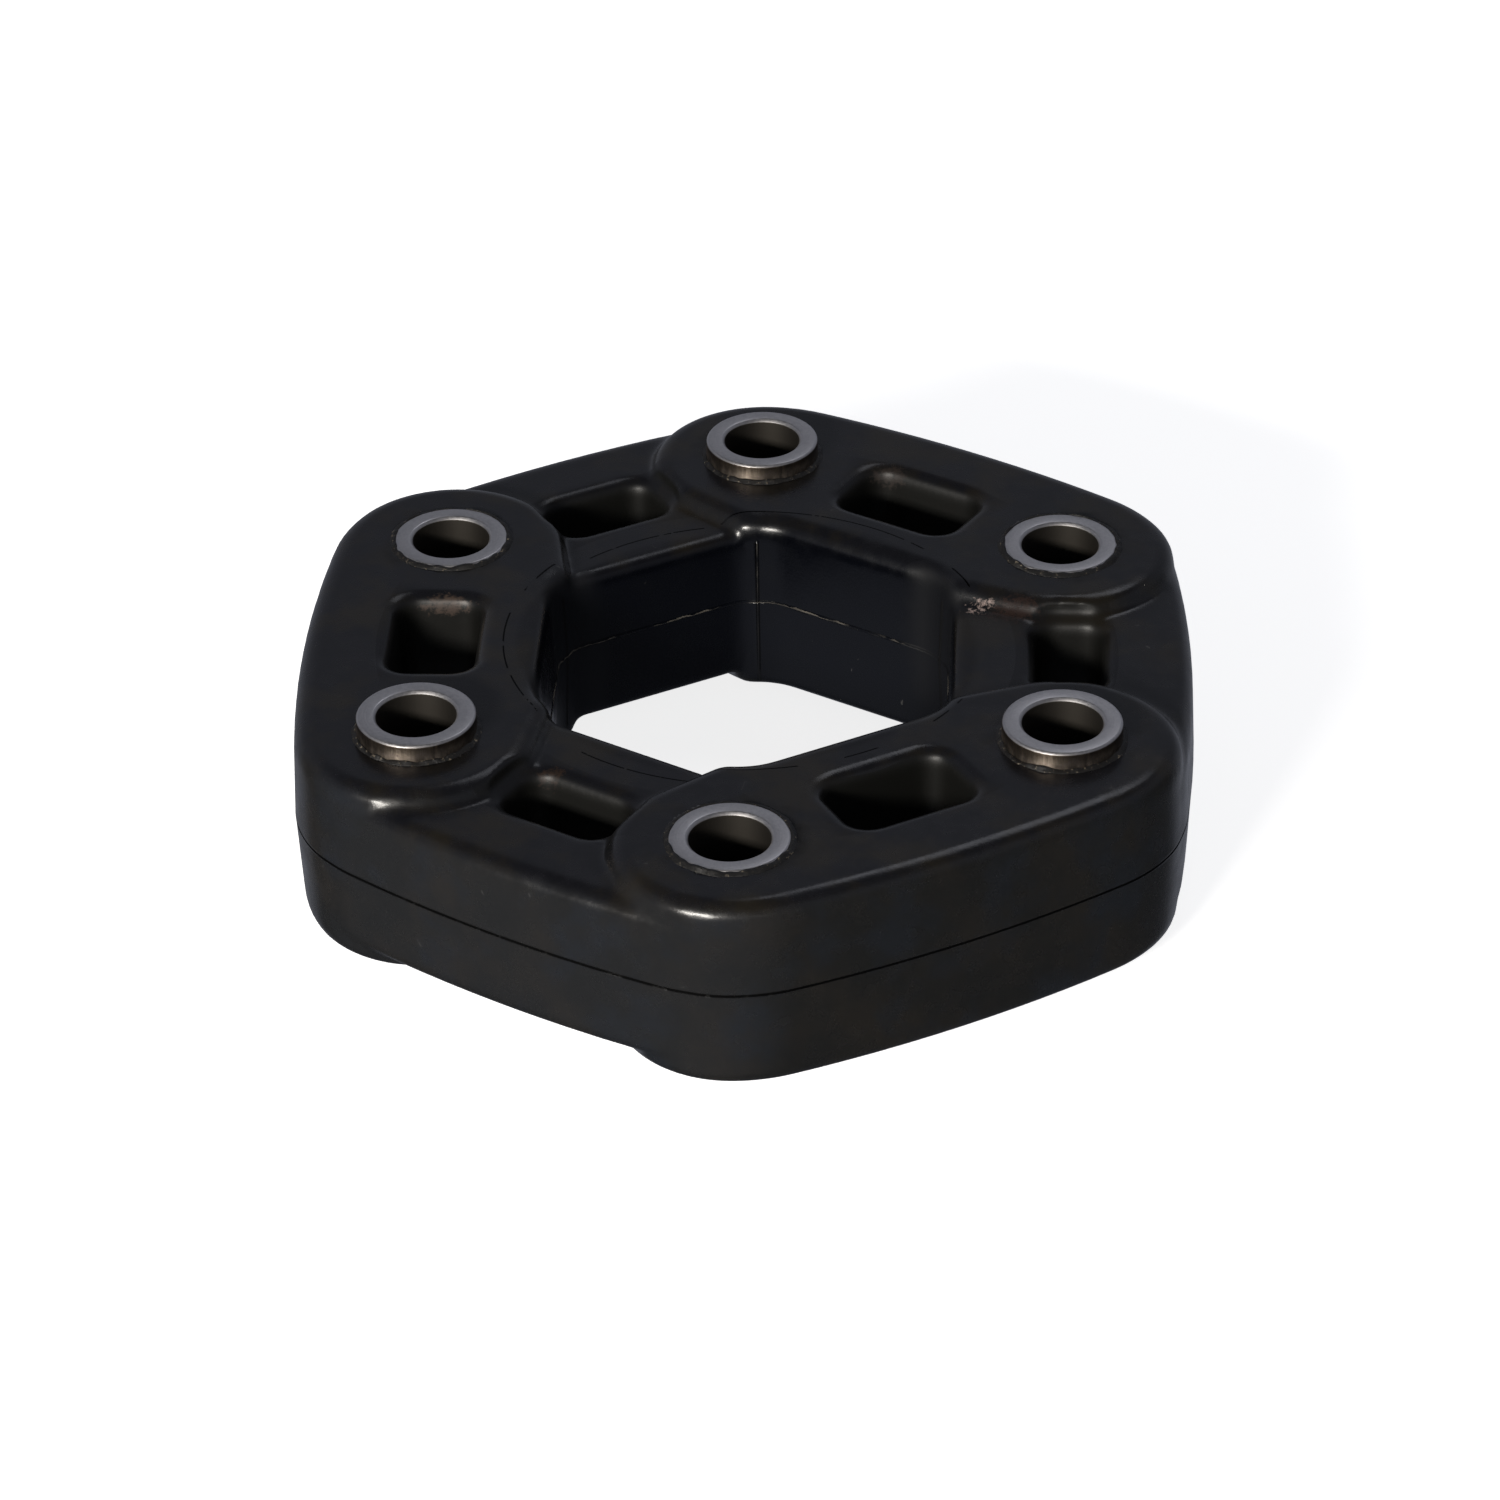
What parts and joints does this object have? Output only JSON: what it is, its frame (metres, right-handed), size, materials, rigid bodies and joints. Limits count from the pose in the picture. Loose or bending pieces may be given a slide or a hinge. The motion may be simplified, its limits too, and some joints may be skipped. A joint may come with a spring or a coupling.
{
  "type": "driveshaft flex disc",
  "caption": "Ring-shaped rubber driveshaft coupling with steel sleeves on a bolt circle, raised pads, windows through its links and cord packs moulded inside.",
  "frame": {"origin": "on the shaft axis, at the middle of the disc's height", "axes": "+Z along the shaft axis; +X through the middle of a thin web link, with a raised pad link on -X"},
  "size_m": [0.119, 0.128, 0.0326],
  "materials": {
    "moulded_rubber": "black moulded rubber, satin, with a bloom of release agent",
    "sleeve_steel": "turned steel, faced ends and a dull phosphated wall",
    "polyester_cord": "wound polyester cord, bonded in the rubber",
    "collar_plastic": "moulded plastic"
  },
  "bodies": {
    "root": {"rubber_body": "moulded_rubber", "steel_sleeve_1": "sleeve_steel", "steel_sleeve_2": "sleeve_steel", "steel_sleeve_3": "sleeve_steel", "steel_sleeve_4": "sleeve_steel", "steel_sleeve_5": "sleeve_steel", "steel_sleeve_6": "sleeve_steel", "upper_cord_pack_1": "polyester_cord", "upper_cord_pack_2": "polyester_cord", "upper_cord_pack_3": "polyester_cord", "middle_cord_pack_1": "polyester_cord", "middle_cord_pack_2": "polyester_cord", "middle_cord_pack_3": "polyester_cord", "lower_cord_pack_1": "polyester_cord", "lower_cord_pack_2": "polyester_cord", "lower_cord_pack_3": "polyester_cord", "upper_collar_1": "collar_plastic", "upper_collar_2": "collar_plastic", "upper_collar_3": "collar_plastic", "upper_collar_4": "collar_plastic", "upper_collar_5": "collar_plastic", "upper_collar_6": "collar_plastic", "lower_collar_1": "collar_plastic", "lower_collar_2": "collar_plastic", "lower_collar_3": "collar_plastic", "lower_collar_4": "collar_plastic", "lower_collar_5": "collar_plastic", "lower_collar_6": "collar_plastic"}
  },
  "joints": []
}
